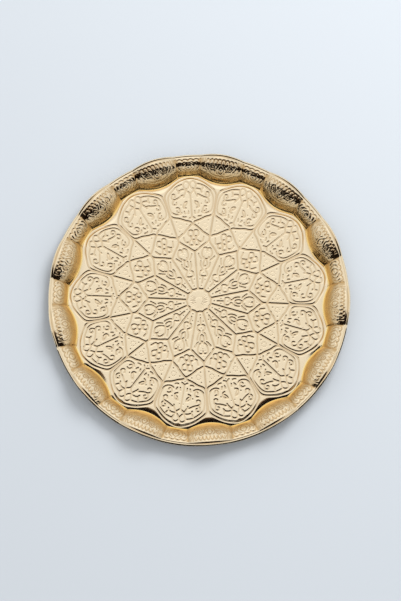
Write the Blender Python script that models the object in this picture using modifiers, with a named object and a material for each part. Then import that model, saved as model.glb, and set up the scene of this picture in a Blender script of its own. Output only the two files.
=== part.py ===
"""Round brass serving tray with a scalloped wall and a wired edge.

Metres, +Z up. The origin is on the tray's axis, at the height of the table that
it stands on. One of the wall's flat panels is centred on +Y.

The tray is one pressed sheet. Its flat floor is raised a little above a narrow
flat foot ring, which follows the scallops. Its wall alternates between broad
pillow-like lobes and narrow flat panels, and its edge is curled round a wire.
"""
import math

import bpy

MM = 0.001

# Driving dimensions, in millimetres and degrees.
LOBES = 13
SHEET_THICKNESS = 0.8
WIRE_RADIUS = 0.6
BEAD_RADIUS = 1.45              # middle of the sheet, measured from the wire's centre
FLOOR_RISE = 1.1                # how far the floor is raised above the foot ring
FLOOR_INSET = 5.0               # from the foot line in to the edge of the flat floor
FOOT_RING = (-0.9, 0.7)         # the flat ring's edges, measured outwards from the foot line
CREASE_AT_FOOT = 9.2            # half width of a lobe, as an angle seen from the centre
CREASE_AT_RIM = 8.3

# The foot line of the wall, and its sections from there to the shoulder as
# (radius, height above the foot), along the middle of the sheet.
PANEL_FOOT = 138.0
LOBE_FOOT = 130.8
PANEL_WALL = ((139.9, 1.1), (141.3, 3.8), (143.2, 6.9), (146.6, 10.3), (150.0, 12.4), (153.9, 12.95))
LOBE_WALL = ((132.7, 1.2), (134.6, 4.2), (138.0, 8.8), (143.0, 13.6), (148.2, 16.9), (153.4, 18.1))

# The wire's centre: the middle of the curled edge.
PANEL_BEAD = (156.4, 12.0)
LOBE_BEAD = (156.8, 17.3)

# The curl runs from the top of the bead, over and under the wire, and stops
# short of the shoulder, so that the hollow round the wire stays open.
CURL_START = 150.0
CURL_END = -125.0
CURL_POINTS = 9

# Columns of one sector: across a lobe from crease to crease, then the panel.
LOBE_COLUMNS = (-1.0, -2.0 / 3.0, -1.0 / 3.0, 0.0, 1.0 / 3.0, 2.0 / 3.0, 1.0)
PANEL_COLUMNS = (0.5, 1.0, 1.5)

BRASS = (0.80, 0.60, 0.31)
WIRE_STEEL = (0.52, 0.50, 0.47)


def clear_scene():
    for obj in list(bpy.data.objects):
        bpy.data.objects.remove(obj, do_unlink=True)


def make_material(name, colour, roughness, metallic):
    material = bpy.data.materials.new(name)
    material.use_nodes = True
    shader = material.node_tree.nodes["Principled BSDF"]
    shader.inputs["Base Color"].default_value = (*colour, 1.0)
    shader.inputs["Roughness"].default_value = roughness
    shader.inputs["Metallic"].default_value = metallic
    material.diffuse_color = (*colour, 1.0)
    return material


def bead_outline(centre):
    """Points of the curled edge round a bead centre, in section."""
    points = []
    for index in range(CURL_POINTS):
        share = index / (CURL_POINTS - 1)
        angle = math.radians(CURL_START + (CURL_END - CURL_START) * share)
        radius = centre[0] + BEAD_RADIUS * math.cos(angle)
        height = centre[1] + BEAD_RADIUS * math.sin(angle)
        points.append((radius, height))
    return points


def full_section(foot, wall, bead):
    """Edge of the floor, foot ring, wall and curled edge as one section."""
    floor_edge = (foot - FLOOR_INSET, FLOOR_RISE)
    foot_ring = [(foot + offset, 0.0) for offset in FOOT_RING]
    return [floor_edge, *foot_ring, *wall, *bead_outline(bead)]


def blend(panel_point, lobe_point, swell):
    radius = panel_point[0] + (lobe_point[0] - panel_point[0]) * swell
    height = panel_point[1] + (lobe_point[1] - panel_point[1]) * swell
    return radius, height


def sector_columns(crease):
    """(angle from the lobe's axis in degrees, share of the lobe's swell)."""
    columns = [(share * crease, 1.0 - share ** 2) for share in LOBE_COLUMNS]
    panel_half = 180.0 / LOBES - crease
    for share in PANEL_COLUMNS:
        columns.append((crease + panel_half * share, 0.0))
    return columns


def ring(panel_point, lobe_point, crease):
    """One closed ring of points round the tray, in metres."""
    step = 360.0 / LOBES
    points = []
    for lobe in range(LOBES):
        lobe_axis = 90.0 + step * (lobe + 0.5)
        for offset, swell in sector_columns(crease):
            radius, height = blend(panel_point, lobe_point, swell)
            angle = math.radians(lobe_axis + offset)
            points.append((radius * math.cos(angle) * MM,
                           radius * math.sin(angle) * MM,
                           (height + SHEET_THICKNESS / 2.0) * MM))
    return points


def tray_rings():
    """The sheet's rings of points, from the edge of the floor to the end of the curl."""
    panel = full_section(PANEL_FOOT, PANEL_WALL, PANEL_BEAD)
    lobe = full_section(LOBE_FOOT, LOBE_WALL, LOBE_BEAD)
    rings = []
    for panel_point, lobe_point in zip(panel, lobe):
        climb = (panel_point[0] - PANEL_FOOT) / (PANEL_BEAD[0] - PANEL_FOOT)
        climb = min(max(climb, 0.0), 1.0)
        crease = CREASE_AT_FOOT + (CREASE_AT_RIM - CREASE_AT_FOOT) * climb
        rings.append(ring(panel_point, lobe_point, crease))
    return rings


def make_tray_sheet(collection, material):
    """A loft between the panel and lobe sections, thickened by Solidify."""
    rings = tray_rings()
    count = len(rings[0])
    vertices = [point for points in rings for point in points]
    faces = [tuple(range(count))]
    for level in range(len(rings) - 1):
        inner = level * count
        outer = inner + count
        for column in range(count):
            following = (column + 1) % count
            faces.append((inner + column, outer + column,
                          outer + following, inner + following))
    mesh = bpy.data.meshes.new("tray_sheet")
    mesh.from_pydata(vertices, [], faces)
    mesh.materials.append(material)
    for polygon in mesh.polygons:
        polygon.use_smooth = True
    mark_creases(mesh, count, len(rings))
    tray = bpy.data.objects.new("tray_sheet", mesh)
    collection.objects.link(tray)
    solidify = tray.modifiers.new("sheet thickness", "SOLIDIFY")
    solidify.thickness = SHEET_THICKNESS * MM
    solidify.offset = 0.0
    solidify.use_even_offset = True
    return tray


def mark_creases(mesh, count, levels):
    """The lines between lobes and panels are sharp, from foot to rim."""
    per_sector = len(LOBE_COLUMNS) + len(PANEL_COLUMNS)
    crease_columns = (0, len(LOBE_COLUMNS) - 1)
    for edge in mesh.edges:
        first, second = edge.vertices
        same_column = first % count == second % count
        on_crease = first % count % per_sector in crease_columns
        in_wall = count <= min(first, second) and max(first, second) < count * levels
        if same_column and on_crease and in_wall:
            edge.use_edge_sharp = True


def make_rim_wire(collection, material):
    """A closed wire that follows the middle of the curled edge."""
    points = ring(PANEL_BEAD, LOBE_BEAD, CREASE_AT_RIM)
    curve = bpy.data.curves.new("rim_wire", "CURVE")
    curve.dimensions = "3D"
    curve.bevel_depth = WIRE_RADIUS * MM
    curve.bevel_resolution = 2
    spline = curve.splines.new("POLY")
    spline.points.add(len(points) - 1)
    for target, point in zip(spline.points, points):
        target.co = (*point, 1.0)
    spline.use_cyclic_u = True
    spline.use_smooth = True
    curve.materials.append(material)
    wire = bpy.data.objects.new("rim_wire", curve)
    collection.objects.link(wire)
    return wire


def main():
    clear_scene()
    collection = bpy.data.collections.new("brass_tray")
    bpy.context.scene.collection.children.link(collection)
    brass = make_material("pressed_brass", BRASS, 0.25, 1.0)
    steel = make_material("wire_steel", WIRE_STEEL, 0.45, 1.0)
    make_tray_sheet(collection, brass)
    make_rim_wire(collection, steel)
    bpy.context.view_layer.update()


main()
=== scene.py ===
"""Looks of the pressed brass tray: ornament, metal, table, light and camera.

The tray's sheet is one closed mesh. A section swept round the tray gives its
middle surface, and the ornament is pressed into it as a height, drawn once for
half of one of the thirteen sectors and repeated by mirror and rotation.
The sheet's lengths are in millimetres until its mesh is made. The table, the
light and the camera are in metres. Angles are in degrees.
"""

import math

import bpy
import numpy as np
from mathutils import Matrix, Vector


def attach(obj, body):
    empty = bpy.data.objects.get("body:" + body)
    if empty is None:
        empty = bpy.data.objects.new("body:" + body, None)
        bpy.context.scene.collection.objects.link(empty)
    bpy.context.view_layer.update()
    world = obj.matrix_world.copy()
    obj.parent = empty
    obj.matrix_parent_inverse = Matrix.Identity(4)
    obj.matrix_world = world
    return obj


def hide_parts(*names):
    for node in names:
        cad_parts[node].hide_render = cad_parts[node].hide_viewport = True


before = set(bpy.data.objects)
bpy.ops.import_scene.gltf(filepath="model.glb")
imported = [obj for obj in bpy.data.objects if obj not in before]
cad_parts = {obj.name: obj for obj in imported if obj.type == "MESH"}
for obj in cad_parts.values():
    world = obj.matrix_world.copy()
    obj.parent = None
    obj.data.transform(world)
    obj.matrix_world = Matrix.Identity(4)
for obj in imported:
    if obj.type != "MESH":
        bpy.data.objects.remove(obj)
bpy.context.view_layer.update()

MM = 0.001
TINY = 1e-12                    # keeps a division by a length away from zero
LOBES = 13
SECTOR = 360.0 / LOBES
HALF_SECTOR = SECTOR / 2.0

# ---------------------------------------------------------------- the sheet

THICKNESS = 0.8
BEAD_RADIUS = 1.45              # middle of the sheet round the wire
CREASE_AT_FOOT = 9.2            # half width of a lobe, seen from the centre
CREASE_AT_RIM = 8.3
CREASE_SOFTNESS = 0.05

# The floor stands a little above the foot line and slopes down to it.
FLOOR_RISE = 1.35
SLOPE_WIDTH = 6.4
STEEP_WIDTH = 1.6
FOOT_SLOPE = 0.45

# The foot line, and the sections from there to the shoulder: radius and height.
PANEL_FOOT = 137.65
LOBE_FOOT = 130.45
PANEL_WALL = ((137.65, 0.16), (138.25, 0.0), (138.75, 0.1), (139.1, 0.6), (139.9, 1.75),
              (141.3, 3.9), (143.2, 6.9), (145.6, 9.4), (148.2, 11.5), (150.8, 12.6),
              (153.2, 12.95), (155.3, 13.15))
LOBE_WALL = ((130.45, 0.16), (131.05, 0.0), (131.55, 0.1), (131.9, 0.6), (132.8, 1.9),
             (134.6, 4.2), (138.0, 8.8), (141.2, 12.1), (144.8, 15.0), (148.6, 17.1),
             (152.2, 17.95), (155.4, 18.5))
PANEL_BEAD = (156.4, 12.0)
LOBE_BEAD = (156.8, 17.3)
BEAD_ANGLES = (112.0, 98.0, 84.0, 70.0, 56.0, 28.0, 0.0, -28.0, -56.0, -84.0, -108.0, -125.0)

# Arcs are lengths along the panel's section, outwards from the foot.
RIM_ARC = 25.0                  # from here on a lobe has its width at the rim
SHOULDER_ARC = 22.9             # where the wall's ornament ends

# Mesh density.
HALF_COLUMNS = 52               # from a lobe's axis to the next panel's axis
CREASE_COLUMN = 34
FIRST_RING = 2.0
RING_STEP = 0.6
WALL_STEP = 0.55
ROUND_FLOOR = 112.0             # inside this radius the floor's rings are circles
BORDER_RINGS = 43
COARSER_INSIDE = ((9.0, 8), (38.0, 4), (76.0, 2))     # (radius, columns for each point)
UNDER_STRIDE = 2                # the underside has half as many rings and columns


def hermite(points, per_segment):
    """Points along a smooth curve: per_segment[i] steps from point i to point i + 1."""
    knots = np.asarray(points, float)
    gaps = np.sqrt(np.linalg.norm(np.diff(knots, axis=0), axis=1))
    times = np.concatenate([[0.0], np.cumsum(gaps)])
    tangents = np.gradient(knots, times, axis=0)
    out = []
    for index, steps in enumerate(per_segment):
        span = times[index + 1] - times[index]
        share = np.arange(steps)[:, None] / steps
        cubic = share ** 3
        square = share ** 2
        out.append((2 * cubic - 3 * square + 1) * knots[index]
                   + (cubic - 2 * square + share) * span * tangents[index]
                   + (3 * square - 2 * cubic) * knots[index + 1]
                   + (cubic - square) * span * tangents[index + 1])
    out.append(knots[-1:])
    return np.concatenate(out)


def wall_section(wall, bead):
    """Points of a section, from the foot up the wall and round the curled edge."""
    curl = [(bead[0] + BEAD_RADIUS * math.cos(math.radians(angle)),
             bead[1] + BEAD_RADIUS * math.sin(math.radians(angle))) for angle in BEAD_ANGLES]
    return np.array([*wall, *curl])


def swell(offset, crease):
    """Share of a lobe's swell at an angle from its axis: 1 on the axis, 0 on a panel."""
    plain = 1.0 - (offset / crease) ** 2
    return 0.5 * (plain + np.sqrt(plain ** 2 + CREASE_SOFTNESS ** 2))


def crease_angle(climb):
    """Half width of a lobe, at a share of the way from the foot to the rim."""
    return CREASE_AT_FOOT + (CREASE_AT_RIM - CREASE_AT_FOOT) * climb


def column_offsets(crease):
    """Angles of the half sector's columns from the lobe's axis, with one on the crease."""
    index = np.arange(HALF_COLUMNS + 1, dtype=float)
    in_lobe = crease * index / CREASE_COLUMN
    panel_share = (index - CREASE_COLUMN) / (HALF_COLUMNS - CREASE_COLUMN)
    in_panel = crease + (HALF_SECTOR - crease) * panel_share
    return np.where(index <= CREASE_COLUMN, in_lobe, in_panel)


def slope_down(distance):
    """How far the floor has dropped at a distance in from the foot line."""
    fade = SLOPE_WIDTH - STEEP_WIDTH
    outside_fade = np.clip(SLOPE_WIDTH - distance, 0.0, fade)
    steep = np.clip(STEEP_WIDTH - distance, 0.0, STEEP_WIDTH)
    return FOOT_SLOPE * (outside_fade ** 2 / (2.0 * fade) + steep)


def floor_rings():
    """The floor's part of half_sheet: circles, then rings that take up the foot's scallops."""
    offsets = column_offsets(CREASE_AT_FOOT)
    foot = PANEL_FOOT + (LOBE_FOOT - PANEL_FOOT) * swell(offsets, CREASE_AT_FOOT)
    circles = [np.full_like(foot, radius) for radius in np.arange(FIRST_RING, ROUND_FLOOR, RING_STEP)]
    shares = np.arange(BORDER_RINGS) / BORDER_RINGS
    border = [ROUND_FLOOR + (foot - ROUND_FLOOR) * share for share in shares]
    rows = []
    for radius in circles + border:
        drop = slope_down(foot - radius)
        height = FLOOR_RISE - drop * (FLOOR_RISE - PANEL_WALL[0][1]) / slope_down(0.0)
        rows.append((offsets, radius, height, radius - foot))
    return rows


def wall_rings():
    """The wall's part of half_sheet: each ring blends the panel's section into the lobe's."""
    panel = wall_section(PANEL_WALL, PANEL_BEAD)
    lobe = wall_section(LOBE_WALL, LOBE_BEAD)
    chords = np.linalg.norm(np.diff(panel, axis=0), axis=1)
    steps = [max(1, math.ceil(chord / WALL_STEP)) for chord in chords]
    panel = hermite(panel, steps)
    lobe = hermite(lobe, steps)
    run = np.concatenate([[0.0], np.cumsum(np.linalg.norm(np.diff(panel, axis=0), axis=1))])
    rows = []
    for panel_point, lobe_point, arc in zip(panel, lobe, run):
        climb = np.clip((panel_point[0] - PANEL_FOOT) / (PANEL_BEAD[0] - PANEL_FOOT), 0.0, 1.0)
        crease = crease_angle(climb)
        offset = column_offsets(crease)
        share = swell(offset, crease)
        radius = panel_point[0] + (lobe_point[0] - panel_point[0]) * share
        height = panel_point[1] + (lobe_point[1] - panel_point[1]) * share
        rows.append((offset, radius, height, np.full_like(offset, arc)))
    return rows


def half_sheet():
    """Rings of the middle surface over half a sector: offset, radius, height, arc.

    On the floor the arc is negative: minus the distance in from the foot line.
    """
    return tuple(np.array(rows) for rows in zip(*floor_rings(), *wall_rings()))


# ------------------------------------------------------------- the ornament
# Lines are drawn for half a motif and mirrored. (across, out): millimetres
# across the motif's axis, and out from the tray's centre along it.

LINE = (1.6, 0.56)              # half width and depth of a main line
FINE = (1.4, 0.48)
SPOKE = (0.75, 0.16)
DOT_STEEPNESS = 0.37            # a dot's depth for each millimetre of its radius
LINE_SPACING = 0.5              # longest segment of a smoothed line

PANEL_LINES = (
    # ring of the rosette, and the side that two petals share
    (LINE, ((0.0, 13.3), (1.5, 12.6), (2.94, 11.94))),
    (LINE, ((0.0, 13.3), (0.0, 32.0), (0.0, 53.6))),
    # lozenge
    (LINE, ((0.0, 84.3), (2.0, 83.2), (4.6, 81.0), (6.6, 78.8), (8.6, 76.8), (10.4, 74.6),
            (12.6, 73.0), (14.8, 71.2), (16.5, 69.8))),
    (LINE, ((16.3, 66.0), (14.0, 63.6), (11.0, 61.4), (8.0, 59.4), (5.4, 57.6), (3.0, 55.6),
            (0.6, 54.1), (0.0, 53.6))),
    (FINE, ((0.2, 75.0), (1.0, 76.6), (2.9, 77.3), (4.9, 76.5), (5.8, 74.2), (4.8, 71.8),
            (3.0, 70.2), (2.3, 68.6), (2.9, 66.8), (4.7, 65.2), (5.2, 63.0), (4.2, 61.2),
            (2.5, 60.6), (0.8, 61.4), (0.2, 63.2), (0.9, 65.4), (2.4, 66.9))),
    (FINE, ((2.5, 70.0), (0.9, 71.3), (0.2, 73.2), (0.2, 75.0))),
    (FINE, ((0.0, 71.6), (1.6, 71.0), (2.4, 69.6), (2.4, 68.4), (1.6, 67.2), (0.0, 66.6))),
    (FINE, ((5.4, 64.4), (7.2, 63.9), (8.8, 64.8), (9.5, 66.4), (10.7, 69.3))),
    # medallion
    (LINE, ((0.7, 84.8), (1.6, 86.3), (3.6, 87.3), (6.0, 87.9), (9.0, 89.0), (12.0, 90.3),
            (15.0, 91.3), (18.0, 91.8), (20.6, 92.7), (22.6, 94.6), (23.7, 97.5), (24.5, 101.0),
            (25.4, 105.0), (26.3, 109.0), (27.1, 112.5), (27.6, 115.2), (27.3, 117.6),
            (26.2, 120.0), (24.3, 122.4), (22.0, 124.8), (19.5, 127.2), (17.0, 129.4),
            (14.0, 131.5), (10.5, 133.4), (6.5, 135.0), (3.0, 136.0), (0.0, 136.3))),
    (FINE, ((8.0, 128.7), (11.0, 127.9), (14.0, 126.6), (17.0, 124.6), (20.0, 121.7),
            (22.4, 119.0), (23.9, 115.5), (24.2, 111.0), (23.6, 106.0), (22.5, 101.5),
            (20.8, 98.2), (18.0, 96.2), (15.0, 95.6), (12.5, 96.1), (10.6, 97.4))),
    (FINE, ((0.0, 128.8), (1.2, 130.9), (3.3, 132.2), (5.7, 131.2), (7.0, 128.8), (6.2, 126.3),
            (5.2, 124.4), (4.2, 122.8))),
    (FINE, ((0.0, 128.8), (0.8, 126.8), (2.4, 124.6), (4.2, 122.8), (3.2, 120.9), (1.4, 119.6),
            (0.0, 117.8))),
    (FINE, ((0.0, 118.0), (0.0, 105.0), (0.0, 92.6))),
    (FINE, ((0.0, 92.6), (1.2, 91.7), (3.1, 90.5))),
    (FINE, ((4.2, 122.8), (7.0, 123.3), (9.6, 122.7), (12.0, 121.4))),
    (FINE, ((14.3, 124.4), (13.2, 122.9), (12.0, 121.4), (12.2, 120.2), (12.6, 119.2))),
    (FINE, ((4.4, 121.8), (5.8, 119.0), (6.9, 117.0), (9.2, 116.5), (11.6, 114.9),
            (14.5, 113.3), (17.5, 112.2))),
    (FINE, ((6.9, 117.0), (7.3, 115.0))),
    (FINE, ((17.5, 112.2), (19.3, 113.5), (20.3, 115.5), (19.9, 117.6), (18.3, 118.5),
            (16.7, 117.8), (16.3, 116.2), (17.2, 115.2))),
    (FINE, ((17.5, 112.2), (19.1, 110.8), (19.6, 108.8), (18.7, 107.0), (16.9, 106.5),
            (15.5, 107.6), (15.4, 109.2))),
    (FINE, ((4.2, 109.3), (5.0, 107.2), (6.6, 105.2), (8.4, 103.6))),
    (FINE, ((4.2, 109.3), (6.4, 108.6), (8.1, 106.6), (8.4, 103.6), (7.2, 102.7), (5.6, 102.2))),
    (FINE, ((16.3, 102.9), (14.3, 103.1), (12.5, 101.6), (12.0, 99.4), (13.0, 97.8),
            (14.8, 98.2), (15.6, 99.8))),
    (FINE, ((3.3, 98.6), (3.7, 96.2))),
    (FINE, ((7.9, 98.6), (6.6, 96.4))),
    (FINE, ((9.8, 92.7), (8.2, 92.2), (6.3, 92.4))),
)
PANEL_DOTS = (
    ((9.4, 66.2), 1.2), ((2.0, 113.2), 1.0), ((7.3, 115.2), 1.1), ((10.9, 106.1), 1.3),
    ((5.5, 102.1), 1.3), ((9.9, 92.7), 1.3), ((0.0, 89.1), 1.1), ((14.2, 124.2), 1.1),
    ((12.5, 119.4), 1.1), ((17.2, 112.4), 1.2), ((16.2, 102.9), 1.1), ((4.3, 109.1), 1.1),
    ((6.3, 84.2), 1.2), ((17.0, 87.4), 1.2), ((14.4, 76.6), 1.2),
)
# The ring of dots in the middle of a triangle.
FLOWER_CENTRE = (13.1, 82.3)
FLOWER_RING = 2.5
FLOWER_DOTS = 8
FLOWER_DOT = 0.95

LOBE_LINES = (
    # petal: heart, oval, ring and stem
    (FINE, ((0.0, 56.8), (1.2, 58.1), (2.9, 58.2), (4.5, 56.9), (5.4, 54.6), (5.3, 52.0),
            (4.4, 49.5), (2.8, 47.5), (1.0, 46.2), (0.0, 45.6))),
    (FINE, ((0.0, 56.8), (0.0, 55.3))),
    (FINE, ((8.7, 50.3), (7.3, 48.6), (6.0, 47.0), (4.4, 45.4))),
    (FINE, ((0.0, 45.6), (1.6, 44.0), (2.1, 41.8), (1.6, 39.4), (0.0, 37.6))),
    (FINE, ((4.9, 42.8), (4.9, 40.6), (4.2, 38.2), (3.0, 36.2), (1.6, 34.9))),
    (FINE, ((1.6, 34.9), (1.4, 33.8), (2.8, 32.5), (4.1, 30.6), (4.0, 28.6), (2.6, 27.2),
            (0.0, 26.7))),
    (FINE, ((0.0, 26.7), (0.0, 23.2), (0.0, 19.4))),
    # spoke of the rosette
    (SPOKE, ((0.25, 3.6), (0.8, 6.2), (1.35, 8.9))),
    # the line between two triangles
    (LINE, ((0.0, 66.0), (0.0, 80.0), (0.0, 95.5))),
)
LOBE_DOTS = (
    ((2.2, 54.6), 0.95), ((0.0, 53.0), 1.05), ((2.2, 48.5), 1.05), ((6.1, 47.2), 1.25),
    ((4.9, 41.6), 1.1), ((0.0, 30.6), 1.15), ((2.7, 23.2), 1.2), ((0.0, 16.2), 1.2),
    ((0.0, 61.0), 1.0),
)

# The wall's ornament, in millimetres across a lobe or a panel, and up the wall.
WALL_LINE = (0.95, 0.46)
WALL_OUTLINE = (0.9, 0.2)
HATCH = (0.8, 0.32)
HALF_LOBE = 22.0
HALF_PANEL = 12.2
SPIRAL_POINTS = 10              # in each turn
SPIRAL_SHRINK = 0.85            # how much a spiral's radius has shrunk at its inner end
ARCHES = 4
# Points of an arch, as shares of its width and of its rise.
ARCH_SHAPE = ((0.0, 0.0), (0.22, 0.75), (0.5, 1.0), (0.78, 0.75), (1.0, 0.0))


def spiral(centre, radius, start, turns):
    """Points of a spiral from its outside in. start is an angle; turns below 0 run clockwise."""
    points = []
    steps = math.ceil(SPIRAL_POINTS * abs(turns))
    for index in range(steps + 1):
        share = index / steps
        angle = math.radians(start + 360.0 * turns * share)
        reach = radius * (1.0 - SPIRAL_SHRINK * share)
        points.append((centre[0] + reach * math.cos(angle), centre[1] + reach * math.sin(angle)))
    return tuple(points)


def strokes(first, last, count, length, lean):
    """A row of short parallel strokes between two points."""
    lines = []
    for index in range(count):
        share = index / (count - 1)
        across = first[0] + (last[0] - first[0]) * share
        up = first[1] + (last[1] - first[1]) * share
        lines.append(((across, up), (across + lean * length, up + length)))
    return lines


def festoon(first, last, up, rise):
    """A row of small arches that share their feet, from one place across to another."""
    span = (last - first) / ARCHES
    arches = []
    for index in range(ARCHES):
        start = first + span * index
        arches.append(tuple((start + span * along, up + rise * high) for along, high in ARCH_SHAPE))
    return arches


LOBE_WALL_LINES = (
    (WALL_OUTLINE, ((20.0, 24.0), (19.4, 19.0), (17.4, 14.4), (13.8, 11.0), (9.0, 9.0),
                    (4.0, 8.2), (0.0, 8.1))),
    (WALL_LINE, spiral((9.4, 14.9), 3.0, 220.0, -1.5)),
    (WALL_LINE, ((0.0, 10.8), (1.9, 12.0), (2.6, 13.9), (1.6, 16.0), (0.0, 17.2))),
    (WALL_LINE, ((3.2, 10.6), (5.0, 12.4), (5.2, 14.8), (3.4, 17.0))),
    (WALL_LINE, ((13.0, 13.2), (14.6, 14.8), (15.6, 17.0))),
    (WALL_LINE, ((17.6, 16.4), (17.8, 19.0), (17.4, 22.4))),
    *((WALL_LINE, arch) for arch in festoon(0.0, 16.4, 18.7, 2.6)),
    *((HATCH, stroke) for stroke in strokes((2.4, 8.8), (16.4, 13.0), 8, 1.7, 0.3)),
    *((HATCH, stroke) for stroke in strokes((17.6, 10.6), (21.0, 19.0), 5, 2.6, -0.2)),
)
LOBE_WALL_DOTS = (
    ((0.0, 14.0), 0.8), ((2.05, 19.4), 0.7), ((6.15, 19.4), 0.7), ((10.25, 19.4), 0.7),
    ((14.35, 19.4), 0.7), ((13.2, 15.8), 0.8), ((6.4, 10.9), 0.7),
)
PANEL_WALL_LINES = (
    (WALL_LINE, ((0.0, 8.6), (2.2, 10.6), (3.0, 13.2), (2.2, 15.6), (0.0, 17.6))),
    (WALL_LINE, ((4.2, 8.8), (6.0, 11.2), (6.4, 14.2), (5.2, 16.8), (3.4, 18.2))),
    (WALL_LINE, ((7.6, 10.0), (9.2, 12.8), (9.4, 15.8), (8.4, 18.0))),
    (WALL_LINE, ((11.2, 6.6), (11.4, 12.0), (11.2, 22.0))),
    *((WALL_LINE, arch) for arch in festoon(-10.4, 10.4, 19.2, 2.0)),
)
PANEL_WALL_DOTS = (
    ((0.0, 12.8), 0.9), ((0.0, 15.4), 0.7), ((2.6, 19.6), 0.7), ((7.8, 19.6), 0.7),
    ((8.0, 12.4), 0.7),
)

# The line between a lobe and a panel, and the shade round it.
CREASE_LINE = (0.9, 0.3)
CREASE_SHADE_WIDTH = 3.2
CREASE_SHADE_START = 2.0        # the arc at which the shade is complete
WALL_RADIUS = 148.0             # turns an angle on the wall into a length

# The valley between the shoulder and the curled edge, deeper and wider on the lobes.
VALLEY_ARC = 24.1
VALLEY_ON_PANEL = (0.9, 0.45)
VALLEY_ON_LOBE = (1.6, 0.85)

# The ornament shows through on the underside, wider and shallower.
UNDER_WIDTH = 1.5
UNDER_DEPTH = 0.6


def dense(points):
    """A smooth line through the points, as short segments."""
    points = np.asarray(points, float)
    chords = np.linalg.norm(np.diff(points, axis=0), axis=1)
    return hermite(points, [max(1, math.ceil(chord / LINE_SPACING)) for chord in chords])


def turned(points, degrees):
    """Points (across, out) turned clockwise round the tray's centre."""
    angle = math.radians(degrees)
    across, out = points[:, 0], points[:, 1]
    return np.stack([across * math.cos(angle) + out * math.sin(angle),
                     out * math.cos(angle) - across * math.sin(angle)], axis=1)


def mirrored(points):
    """Points (across, out) mirrored in the motif's axis."""
    return points * np.array([-1.0, 1.0])


def distance_to(line, where):
    """Distance of each point to a line of segments."""
    starts = line[:-1]
    runs = line[1:] - starts
    lengths = np.maximum((runs ** 2).sum(1), TINY)
    nearest = np.full(len(where), np.inf)
    for start, run, length in zip(starts, runs, lengths):
        relative = where - start
        share = np.clip(relative @ run / length, 0.0, 1.0)
        gap = relative - share[:, None] * run
        nearest = np.minimum(nearest, (gap ** 2).sum(1))
    return np.sqrt(nearest)


def pressed(distance, half_width, depth):
    """A groove with a rounded bottom and soft shoulders."""
    share = np.clip(distance / half_width, 0.0, 1.0)
    return -depth * 0.5 * (1.0 + np.cos(math.pi * share))


def press(depths, where, line, half_width, depth):
    """Presses one line or, where it has a single point, one dot into the depths."""
    low = line.min(0) - half_width
    high = line.max(0) + half_width
    near = np.all((where >= low) & (where <= high), axis=1)
    if not near.any():
        return
    if len(line) == 1:
        distance = np.linalg.norm(where[near] - line[0], axis=1)
    else:
        distance = distance_to(line, where[near])
    depths[near] = np.minimum(depths[near], pressed(distance, half_width, depth))


def flower_dots():
    """(centre, radius) of the dots of a triangle's flower."""
    dots = []
    for index in range(FLOWER_DOTS):
        angle = 2.0 * math.pi * (index + 0.5) / FLOWER_DOTS
        centre = (FLOWER_CENTRE[0] + FLOWER_RING * math.cos(angle),
                  FLOWER_CENTRE[1] + FLOWER_RING * math.sin(angle))
        dots.append((centre, FLOWER_DOT))
    return dots


def floor_motifs():
    """(points, half width, depth) of every line and dot near the half sector.

    The half sector runs from the lobe's axis, at 0, to the panel's, at HALF_SECTOR.
    """
    motifs = []
    for lines, dots, axes in (
            (PANEL_LINES, [*PANEL_DOTS, *flower_dots()], (HALF_SECTOR, -HALF_SECTOR)),
            (LOBE_LINES, LOBE_DOTS, (0.0, SECTOR))):
        drawn = [(dense(points), width, depth) for (width, depth), points in lines]
        drawn += [(np.array([centre]), radius, DOT_STEEPNESS * radius) for centre, radius in dots]
        for points, width, depth in drawn:
            for axis in axes:
                motifs.append((turned(points, axis), width, depth))
                motifs.append((turned(mirrored(points), axis), width, depth))
    return motifs


def floor_relief(offsets, radii, width_scale, depth_scale):
    """Depths of the floor's ornament over the half sector."""
    angle = np.radians(offsets)
    where = np.stack([(radii * np.sin(angle)).ravel(), (radii * np.cos(angle)).ravel()], axis=1)
    depths = np.zeros(len(where))
    for line, width, depth in floor_motifs():
        press(depths, where, line, width * width_scale, depth * depth_scale)
    return depths.reshape(radii.shape)


def crease_on_wall(arcs):
    """The lobes' half width along the wall, as an angle."""
    return crease_angle(np.clip(arcs / RIM_ARC, 0.0, 1.0))


def from_crease(offsets, arcs):
    """Distance from the line between a lobe and a panel of the wall."""
    return np.radians(np.abs(offsets - crease_on_wall(arcs))) * WALL_RADIUS


def wall_relief(offsets, arcs, width_scale, depth_scale):
    """Depths of the wall's ornament, drawn flat and wrapped on the lobes and panels."""
    crease = crease_on_wall(arcs)
    across_lobe = offsets / crease * HALF_LOBE
    across_panel = (HALF_SECTOR - offsets) / (HALF_SECTOR - crease) * HALF_PANEL
    depths = np.zeros(arcs.size)
    for across, lines, dots, inside in (
            (across_lobe, LOBE_WALL_LINES, LOBE_WALL_DOTS, offsets <= crease),
            (across_panel, PANEL_WALL_LINES, PANEL_WALL_DOTS, offsets > crease)):
        where = np.stack([across.ravel(), arcs.ravel()], axis=1)
        part = np.zeros(arcs.size)
        for (width, depth), points in lines:
            for flip in (dense(points), mirrored(dense(points))):
                press(part, where, flip, width * width_scale, depth * depth_scale)
        for centre, radius in dots:
            for flip in (np.array([centre]), mirrored(np.array([centre]))):
                press(part, where, flip, radius * width_scale, WALL_LINE[1] * depth_scale)
        depths += np.where(inside.ravel(), part, 0.0)
    width, depth = CREASE_LINE
    creased = pressed(from_crease(offsets, arcs), width * width_scale, depth * depth_scale)
    return np.minimum(depths.reshape(arcs.shape), creased)


def painted_crease_shade(offsets, arcs):
    """Share of the painted shade round the line between a lobe and a panel of the wall: 1 on the
    line, falling to 0 away from it.
    """
    near = np.exp(-(from_crease(offsets, arcs) / CREASE_SHADE_WIDTH) ** 2)
    from_foot = np.clip(arcs / CREASE_SHADE_START, 0.0, 1.0)
    to_shoulder = np.clip(SHOULDER_ARC - arcs, 0.0, 1.0)
    return near * (from_foot * to_shoulder)


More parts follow.
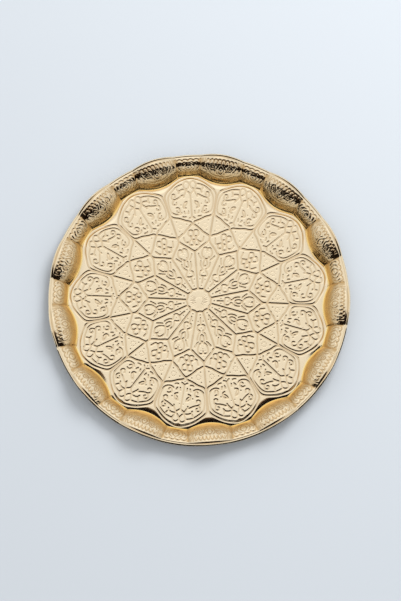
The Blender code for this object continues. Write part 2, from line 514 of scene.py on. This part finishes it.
def valley_relief(offsets, arcs, depth_scale):
    """Depths of the valley that runs round the tray inside its curled edge."""
    share = swell(offsets, CREASE_AT_RIM)
    width = VALLEY_ON_PANEL[0] + (VALLEY_ON_LOBE[0] - VALLEY_ON_PANEL[0]) * share
    depth = VALLEY_ON_PANEL[1] + (VALLEY_ON_LOBE[1] - VALLEY_ON_PANEL[1]) * share
    return pressed(np.abs(arcs - VALLEY_ARC), width, depth * depth_scale)


def relief(offsets, radii, arcs, width_scale, depth_scale):
    """Depths of all that is pressed into one side of the half sector's sheet."""
    on_floor = floor_relief(offsets, radii, width_scale, depth_scale)
    on_wall = wall_relief(offsets, arcs, width_scale, depth_scale)
    on_wall = on_wall * np.clip(SHOULDER_ARC - arcs, 0.0, 1.0)
    on_wall = np.minimum(on_wall, valley_relief(offsets, arcs, depth_scale))
    return np.where(arcs < 0.0, on_floor, on_wall)


# ----------------------------------------------------------------- the mesh

# The floor's grooves and the valley get lighter painted shade than the wall's grooves: their painted
# shade would be full at so many times their depth.
FLOOR_SHADE_DEPTH = 1.6
VALLEY_SHADE_DEPTH = 1.3
GRAIN_START = 5.0               # the grain grows from this arc
GRAIN_GROWTH = 4.0
CLIMB_START = -1.0              # the arc at which the colour's climb up the wall starts
CLIMB_LENGTH = 26.0


def whole_sector(rows, odd=False):
    """Half a sector's columns mirrored to a whole one; odd rows change sign."""
    sign = -1.0 if odd else 1.0
    return np.concatenate([sign * rows[:, HALF_COLUMNS:0:-1], rows[:, :HALF_COLUMNS]], axis=1)


def surface_points(offsets, radii, heights):
    """Points of one sector, its lobe's axis on +X."""
    angle = np.radians(offsets)
    return np.stack([radii * np.cos(angle), radii * np.sin(angle), heights], axis=-1)


def surface_normals(points):
    """Unit normals of one sector's grid, which joins the next sector at its ends."""
    turn = math.radians(SECTOR)
    rotation = np.array([[math.cos(turn), -math.sin(turn), 0.0],
                         [math.sin(turn), math.cos(turn), 0.0], [0.0, 0.0, 1.0]])
    before = points[:, -1:] @ rotation
    after = points[:, :1] @ rotation.T
    wide = np.concatenate([before, points, after], axis=1)
    along = wide[:, 2:] - wide[:, :-2]
    outward = np.gradient(points, axis=0)
    normals = np.cross(outward, along)
    normals /= np.maximum(np.linalg.norm(normals, axis=-1, keepdims=True), TINY)
    return normals


def ring_stride(radius, finest):
    """How many of the grid's columns one step along a ring takes."""
    return max([finest] + [coarse for limit, coarse in COARSER_INSIDE if radius < limit])


def all_sectors(ring):
    """One sector's points repeated round the tray. A lobe's axis is half a sector from +Y."""
    rings = []
    for sector in range(LOBES):
        angle = math.radians(90.0 + HALF_SECTOR + SECTOR * sector)
        rotation = np.array([[math.cos(angle), math.sin(angle), 0.0],
                             [-math.sin(angle), math.cos(angle), 0.0], [0.0, 0.0, 1.0]])
        rings.append(ring @ rotation)
    return np.concatenate(rings)


def join_rings(first_start, first_count, second_start, second_count):
    """Faces between two rings. Where one is twice as dense, triangles make the step."""
    faces = []
    if first_count == second_count:
        for k in range(first_count):
            n = (k + 1) % first_count
            faces.append((first_start + k, second_start + k, second_start + n, first_start + n))
        return faces
    if first_count < second_count:
        coarse, count, dense_ring, flip = first_start, first_count, second_start, False
    else:
        coarse, count, dense_ring, flip = second_start, second_count, first_start, True
    for k in range(count):
        n = (k + 1) % count
        a, b = coarse + k, coarse + n
        c, d = dense_ring + 2 * k, dense_ring + 2 * k + 1
        e = dense_ring + (2 * k + 2) % (2 * count)
        triangles = [(a, c, d), (a, d, b), (b, d, e)]
        if flip:
            triangles = [triangle[::-1] for triangle in triangles]
        faces.extend(triangles)
    return faces


def metal_values(depths, arcs):
    """How the upper side's metal varies, from 0 to 1: painted shade in the grooves, grain, and the
    climb along which painted light is laid up the wall.
    """
    # The painted shade in a groove is full at these depths.
    full = np.where(arcs < 0.0, LINE[1] * FLOOR_SHADE_DEPTH, WALL_LINE[1])
    full = np.where(arcs > SHOULDER_ARC, VALLEY_ON_LOBE[1] * VALLEY_SHADE_DEPTH, full)
    groove = np.clip(-depths / full, 0.0, 1.0)
    grain = np.clip((arcs - GRAIN_START) / GRAIN_GROWTH, 0.0, 1.0) * (arcs < SHOULDER_ARC)
    climb = np.clip((arcs - CLIMB_START) / CLIMB_LENGTH, 0.0, 1.0)
    return {"groove": groove, "grain": grain, "climb": climb}


def sheet_sides():
    """(mean radius of each ring, upper side, underside) of one sector.

    A side is (points, values for the metal), both as grids of rings and columns.
    """
    offsets, radii, heights, arcs = half_sheet()
    depths = whole_sector(relief(offsets, radii, arcs, 1.0, 1.0))
    under_depths = whole_sector(relief(offsets, radii, arcs, UNDER_WIDTH, UNDER_DEPTH))
    middle = surface_points(whole_sector(offsets, odd=True), whole_sector(radii),
                            whole_sector(heights))
    normals = surface_normals(middle)
    middle[..., 2] += THICKNESS / 2.0
    top = middle + normals * (THICKNESS / 2.0 + depths[..., None])
    under = middle - normals * (THICKNESS / 2.0 - under_depths[..., None])
    values = metal_values(depths, whole_sector(arcs))
    # Share of the painted shade round the creases.
    values["crease"] = whole_sector(painted_crease_shade(offsets, arcs))
    # The underside gets no painted groove shade and no grain.
    no_groove_shade_or_grain = {**values, "groove": np.zeros_like(depths), "grain": np.zeros_like(depths)}
    return radii.mean(axis=1), (top, values), (under, no_groove_shade_or_grain)


def sheet_rings():
    """(points, values) of each ring, out over the upper side and back under it."""
    mean_radii, upper, lower = sheet_sides()
    last = len(mean_radii) - 1
    back = [index for index in range(last, -1, -1) if index % UNDER_STRIDE == 0 or index == last]
    order = [(upper, index, 1) for index in range(last + 1)]
    order += [(lower, index, UNDER_STRIDE) for index in back]
    rings = []
    for (points, values), index, finest in order:
        stride = ring_stride(mean_radii[index], finest)
        ring_values = {name: np.tile(grid[index, ::stride], LOBES) for name, grid in values.items()}
        rings.append((all_sectors(points[index, ::stride]), ring_values))
    return rings


def sheet_faces(counts):
    """Faces between the rings, and one that closes the middle of each side."""
    starts = np.concatenate([[0], np.cumsum(counts)]).tolist()
    faces = []
    for ring in range(len(counts) - 1):
        faces.extend(join_rings(starts[ring], counts[ring], starts[ring + 1], counts[ring + 1]))
    faces.append(tuple(range(counts[0])))
    faces.append(tuple(range(starts[-1] - 1, starts[-2] - 1, -1)))
    return faces


def build_sheet():
    """The tray's sheet as one closed mesh, with the metal's values on its points."""
    rings = sheet_rings()
    vertices = np.concatenate([points for points, values in rings]) * MM
    mesh = bpy.data.meshes.new("tray")
    mesh.from_pydata(vertices.tolist(), [], sheet_faces([len(points) for points, values in rings]))
    for name in ("groove", "grain", "climb", "crease"):
        attribute = mesh.attributes.new(name, "FLOAT", "POINT")
        numbers = np.concatenate([values[name] for points, values in rings])
        attribute.data.foreach_set("value", numbers.astype(np.float32))
    mesh.polygons.foreach_set("use_smooth", np.ones(len(mesh.polygons), bool))
    mesh.update()
    tray = bpy.data.objects.new("tray", mesh)
    bpy.context.scene.collection.objects.link(tray)
    return tray


# ---------------------------------------------------------------- materials

BRASS = (0.88, 0.745, 0.53)
BRASS_DULL = (0.83, 0.67, 0.44)
# Painted shade: these colours darken the brass where shade falls in the grooves and round the
# creases.
BRASS_GROOVE_SHADE = (0.50, 0.30, 0.11)
BRASS_CREASE_SHADE = (0.55, 0.36, 0.15)
MOST_DULL = 0.35                # the largest shares of those colours that show
MOST_GROOVE_SHADE = 0.85
MOST_CREASE_SHADE = 0.6
UNSHADED_GROOVE_EDGE = 0.1              # a groove's edge gets no painted shade up to this share of its depth
# Painted light up the wall from the foot to the bead: a painted highlight at the foot, a painted
# orange glow of light reflected between floor and wall, painted brown shade above it; colours, and
# how much of them shows.
PAINTED_WALL_LIGHT = ((0.0, (1.0, 0.84, 0.46)), (0.10, (0.94, 0.70, 0.30)), (0.22, (0.66, 0.41, 0.13)),
                 (0.40, (0.61, 0.41, 0.16)), (0.55, (0.70, 0.53, 0.28)), (1.0, (0.92, 0.76, 0.50)))
PAINTED_WALL_LIGHT_SHARES = ((0.0, (0.0, 0.0, 0.0)), (0.04, (1.0, 1.0, 1.0)), (0.30, (0.9, 0.9, 0.9)),
               (0.45, (0.7, 0.7, 0.7)), (0.62, (0.25, 0.25, 0.25)), (1.0, (0.2, 0.2, 0.2)))
BRASS_ROUGHNESS = (0.09, 0.16)
GRAIN_HEIGHT = 0.00012
GRAIN_FLOOR = 0.05              # how much of the grain the floor and the bead keep
STEEL = (0.45, 0.43, 0.40)
STEEL_STAINED = (0.30, 0.24, 0.18)
STEEL_ROUGHNESS = (0.35, 0.55)
TABLE = (0.485, 0.52, 0.558)
TABLE_ROUGHNESS = 0.7
CARD_BELOW = (0.005, 0.002, 0.001)
CARD_ABOVE = (0.24, 0.155, 0.09)
CARD_FADE = (1.0, 2.0)          # the heights between which a card turns brown
CARD_ROUGHNESS = 0.9
# Noise textures, as (scale for each metre, detail), and the part of their range that is used.
BLOTCHES = (22.0, 3.0)
BLOTCH_RANGE = (0.35, 0.75)
SMEARS = (60.0, 4.0)
GRAIN = (900.0, 2.0)
STEEL_STAINS = (120.0, 3.0)
STEEL_SMEARS = (300.0, 2.0)
SMEAR_RANGE = (0.3, 0.7)


def place_steps(ramp, steps):
    """Sets a colour ramp to (position, colour) steps in rising order."""
    first, last = ramp.elements
    first.position, last.position = 0.0, 1.0
    for position, colour in steps[1:-1]:
        ramp.elements.new(position).color = (*colour, 1.0)
    ramp.elements[0].color = (*steps[0][1], 1.0)
    ramp.elements[-1].color = (*steps[-1][1], 1.0)


class Nodes:
    """Short names for making and joining the nodes of a material or a world."""

    def __init__(self, owner, shader="Principled BSDF"):
        owner.use_nodes = True
        self.tree = owner.node_tree
        self.shader = self.tree.nodes[shader]

    def add(self, kind, **settings):
        node = self.tree.nodes.new(kind)
        for key, value in settings.items():
            setattr(node, key, value)
        return node

    def link(self, source, target):
        self.tree.links.new(source, target)

    def put(self, value, socket):
        """Feeds a shader's input with another node's output, a colour or a number."""
        if hasattr(value, "links"):
            self.link(value, socket)
        elif isinstance(value, tuple):
            socket.default_value = (*value, 1.0)
        else:
            socket.default_value = value

    def noise(self, scale, detail):
        place = self.add("ShaderNodeTexCoord")
        node = self.add("ShaderNodeTexNoise")
        node.inputs["Scale"].default_value = scale
        node.inputs["Detail"].default_value = detail
        self.link(place.outputs["Object"], node.inputs["Vector"])
        return node.outputs["Fac"]

    def attribute(self, name):
        return self.add("ShaderNodeAttribute", attribute_name=name).outputs["Fac"]

    def between(self, factor, source_range, target_range, interpolation="LINEAR"):
        """A factor's range stretched to another range, and held at its ends."""
        node = self.add("ShaderNodeMapRange", interpolation_type=interpolation)
        node.inputs["From Min"].default_value = source_range[0]
        node.inputs["From Max"].default_value = source_range[1]
        node.inputs["To Min"].default_value = target_range[0]
        node.inputs["To Max"].default_value = target_range[1]
        self.link(factor, node.inputs["Value"])
        return node.outputs["Result"]

    def mix(self, factor, first, second):
        node = self.add("ShaderNodeMix", data_type="RGBA")
        self.put(first, node.inputs["A"])
        self.put(second, node.inputs["B"])
        self.put(factor, node.inputs["Factor"])
        return node.outputs["Result"]

    def ramp(self, factor, steps):
        node = self.add("ShaderNodeValToRGB")
        place_steps(node.color_ramp, steps)
        self.link(factor, node.inputs["Fac"])
        return node.outputs["Color"]


def brass_material():
    """Polished brass: faint blotches and smears, painted shade in the grooves and round the creases,
    painted highlight, glow and shade up the wall.
    """
    material = bpy.data.materials.new("pressed_brass")
    nodes = Nodes(material)
    nodes.put(1.0, nodes.shader.inputs["Metallic"])
    groove = nodes.attribute("groove")
    grain = nodes.attribute("grain")
    climb = nodes.attribute("climb")
    crease = nodes.attribute("crease")
    blotches = nodes.between(nodes.noise(*BLOTCHES), BLOTCH_RANGE, (0.0, MOST_DULL))
    cleaned = nodes.mix(blotches, BRASS, BRASS_DULL)
    # Painted highlight, reflected glow and shade up the wall, laid over the brass along the climb.
    with_painted_wall_light = nodes.mix(nodes.ramp(climb, PAINTED_WALL_LIGHT_SHARES), cleaned, nodes.ramp(climb, PAINTED_WALL_LIGHT))
    # Painted shade round the creases between lobes and panels.
    crease_shade_share = nodes.between(crease, (0.0, 1.0), (0.0, MOST_CREASE_SHADE))
    shaded = nodes.mix(crease_shade_share, with_painted_wall_light, BRASS_CREASE_SHADE)
    # Painted shade in the grooves.
    groove_shade_share = nodes.between(groove, (UNSHADED_GROOVE_EDGE, 1.0), (0.0, MOST_GROOVE_SHADE))
    colour = nodes.mix(groove_shade_share, shaded, BRASS_GROOVE_SHADE)
    nodes.put(colour, nodes.shader.inputs["Base Color"])
    roughness = nodes.between(nodes.noise(*SMEARS), SMEAR_RANGE, BRASS_ROUGHNESS)
    nodes.put(roughness, nodes.shader.inputs["Roughness"])
    bump = nodes.add("ShaderNodeBump")
    nodes.put(GRAIN_HEIGHT, bump.inputs["Distance"])
    nodes.put(nodes.between(grain, (0.0, 1.0), (GRAIN_FLOOR, 1.0)), bump.inputs["Strength"])
    nodes.put(nodes.noise(*GRAIN), bump.inputs["Height"])
    nodes.put(bump.outputs["Normal"], nodes.shader.inputs["Normal"])
    return material


def steel_material():
    """Dull steel wire, a little stained."""
    material = bpy.data.materials.new("wire_steel")
    nodes = Nodes(material)
    nodes.put(1.0, nodes.shader.inputs["Metallic"])
    colour = nodes.mix(nodes.noise(*STEEL_STAINS), STEEL, STEEL_STAINED)
    nodes.put(colour, nodes.shader.inputs["Base Color"])
    roughness = nodes.between(nodes.noise(*STEEL_SMEARS), SMEAR_RANGE, STEEL_ROUGHNESS)
    nodes.put(roughness, nodes.shader.inputs["Roughness"])
    return material


def table_material():
    material = bpy.data.materials.new("table")
    nodes = Nodes(material)
    nodes.put(TABLE, nodes.shader.inputs["Base Color"])
    nodes.put(TABLE_ROUGHNESS, nodes.shader.inputs["Roughness"])
    return material


def card_material(name):
    """Near black below and brown towards the top, so that gentle slopes turn brown first."""
    material = bpy.data.materials.new(name)
    nodes = Nodes(material)
    nodes.put(CARD_ROUGHNESS, nodes.shader.inputs["Roughness"])
    nodes.put(0.0, nodes.shader.inputs["Specular IOR Level"])
    place = nodes.add("ShaderNodeTexCoord")
    split = nodes.add("ShaderNodeSeparateXYZ")
    nodes.link(place.outputs["Object"], split.inputs[0])
    share = nodes.between(split.outputs["Z"], CARD_FADE, (0.0, 1.0))
    nodes.put(nodes.mix(share, CARD_BELOW, CARD_ABOVE), nodes.shader.inputs["Base Color"])
    return material


# ------------------------------------------------------------ table, light

TABLE_HALF = 6.0

# A tall card on the near side leans towards the tray, and a low one runs round
# the near side of its edge. The polished slopes that face them turn dark.
TALL_CARD = ((-2.2, -0.42, 0.29), (0.9, -0.42, 0.29), (0.45, -0.16, 2.0), (-1.3, -0.16, 2.0))
LOW_CARD_RADIUS = 0.175
LOW_CARD_HEIGHT = 0.032
LOW_CARD_FROM = 195.0
LOW_CARD_TO = 345.0
LOW_CARD_STEPS = 30

ROOM = 0.97
ROOM_BRIGHT = 1.3
BRIGHT_ZENITH = 36.0            # the bright patch's angle from straight up, towards +Y
BRIGHT_CORE = 8.0
BRIGHT_SPREAD = 20.0
# The room's brightness by the angle from straight up: a bright band from 60 to 68 degrees,
# a dark one at 51, and darker again towards the horizon.
ROWS = ((90.0, 0.80), (81.0, 0.85), (74.0, 0.80), (68.0, 1.1), (60.0, 1.1), (51.0, 0.70),
        (42.0, 0.95), (0.0, 1.0))

LAMP_SIZE = 1.2
LAMP_POWER = 36.0
LAMP_PLACE = (0.9, 1.1, 1.5)


def mesh_object(name, points, faces, material):
    mesh = bpy.data.meshes.new(name)
    mesh.from_pydata(points, [], faces)
    mesh.materials.append(material)
    made = bpy.data.objects.new(name, mesh)
    bpy.context.scene.collection.objects.link(made)
    return made


def make_table():
    """A plain pale floor."""
    corners = [(-TABLE_HALF, -TABLE_HALF, 0.0), (TABLE_HALF, -TABLE_HALF, 0.0),
               (TABLE_HALF, TABLE_HALF, 0.0), (-TABLE_HALF, TABLE_HALF, 0.0)]
    mesh_object("table", corners, [(0, 1, 2, 3)], table_material())


def tall_card():
    """A sheet that leans towards the tray from its near side."""
    return mesh_object("dark_card", TALL_CARD, [(0, 1, 2, 3)], card_material("dark_card"))


def low_card():
    """An upright strip that stands clear of the tray's edge."""
    points = []
    for index in range(LOW_CARD_STEPS + 1):
        share = index / LOW_CARD_STEPS
        angle = math.radians(LOW_CARD_FROM + (LOW_CARD_TO - LOW_CARD_FROM) * share)
        x = LOW_CARD_RADIUS * math.cos(angle)
        y = LOW_CARD_RADIUS * math.sin(angle)
        points += [(x, y, 0.0), (x, y, LOW_CARD_HEIGHT)]
    faces = [(2 * k, 2 * k + 2, 2 * k + 3, 2 * k + 1) for k in range(LOW_CARD_STEPS)]
    return mesh_object("low_card", points, faces, card_material("low_card"))


def make_cards():
    """Only reflections show the cards."""
    for card in (tall_card(), low_card()):
        card.visible_camera = False
        card.visible_shadow = False
        card.visible_diffuse = False


def make_room():
    """An even room, a little brighter high up behind the tray and darker at the horizon."""
    world = bpy.data.worlds.new("studio")
    nodes = Nodes(world, "Background")
    place = nodes.add("ShaderNodeTexCoord").outputs["Generated"]
    zenith = math.radians(BRIGHT_ZENITH)
    towards = nodes.add("ShaderNodeVectorMath", operation="DOT_PRODUCT")
    towards.inputs[1].default_value = (0.0, math.sin(zenith), math.cos(zenith))
    nodes.link(place, towards.inputs[0])
    patch = (math.cos(math.radians(BRIGHT_SPREAD)), math.cos(math.radians(BRIGHT_CORE)))
    bright = nodes.between(towards.outputs["Value"], patch, (ROOM, ROOM_BRIGHT), "SMOOTHSTEP")
    height = nodes.add("ShaderNodeSeparateXYZ")
    nodes.link(place, height.inputs[0])
    rows = nodes.ramp(height.outputs["Z"], [(math.cos(math.radians(angle)), (level, level, level))
                                            for angle, level in ROWS])
    strength = nodes.add("ShaderNodeMath", operation="MULTIPLY")
    nodes.link(bright, strength.inputs[0])
    nodes.link(rows, strength.inputs[1])
    nodes.put((1.0, 1.0, 1.0), nodes.shader.inputs["Color"])
    nodes.put(strength.outputs["Value"], nodes.shader.inputs["Strength"])
    bpy.context.scene.world = world


def make_lamp():
    """A broad soft light behind the tray and to its right. It isn't seen in the metal."""
    lamp = bpy.data.lights.new("soft_light", "AREA")
    lamp.shape = "DISK"
    lamp.size = LAMP_SIZE
    lamp.energy = LAMP_POWER
    light = bpy.data.objects.new("soft_light", lamp)
    light.location = LAMP_PLACE
    light.rotation_euler = (-light.location).to_track_quat("-Z", "Y").to_euler()
    light.visible_glossy = False
    bpy.context.scene.collection.objects.link(light)


# -------------------------------------------------------------- the camera

ELEVATION = 75.6
AZIMUTH = -4.5
DISTANCE = 2.208
FOCAL_MM = 125.4
SENSOR_MM = 36.0
SHIFT_X = 0.0026


def make_camera():
    """Looks at the middle of the tray's floor."""
    elevation = math.radians(ELEVATION)
    azimuth = math.radians(AZIMUTH)
    target = Vector((0.0, 0.0, (FLOOR_RISE + THICKNESS) * MM))
    towards = Vector((math.sin(azimuth) * math.cos(elevation),
                      -math.cos(azimuth) * math.cos(elevation), math.sin(elevation)))
    data = bpy.data.cameras.new("camera")
    data.lens = FOCAL_MM
    data.sensor_width = SENSOR_MM
    data.shift_x = SHIFT_X
    camera = bpy.data.objects.new("camera", data)
    camera.location = target + towards * DISTANCE
    camera.rotation_euler = (-towards).to_track_quat("-Z", "Y").to_euler()
    bpy.context.scene.collection.objects.link(camera)
    bpy.context.scene.camera = camera


# --------------------------------------------------------------- assembly

bpy.context.scene.view_settings.view_transform = "Standard"
tray = build_sheet()
tray.data.materials.append(brass_material())
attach(tray, "root")
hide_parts("tray_sheet")
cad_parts["rim_wire"].material_slots[0].material = steel_material()
make_table()
make_cards()
make_room()
make_lamp()
make_camera()
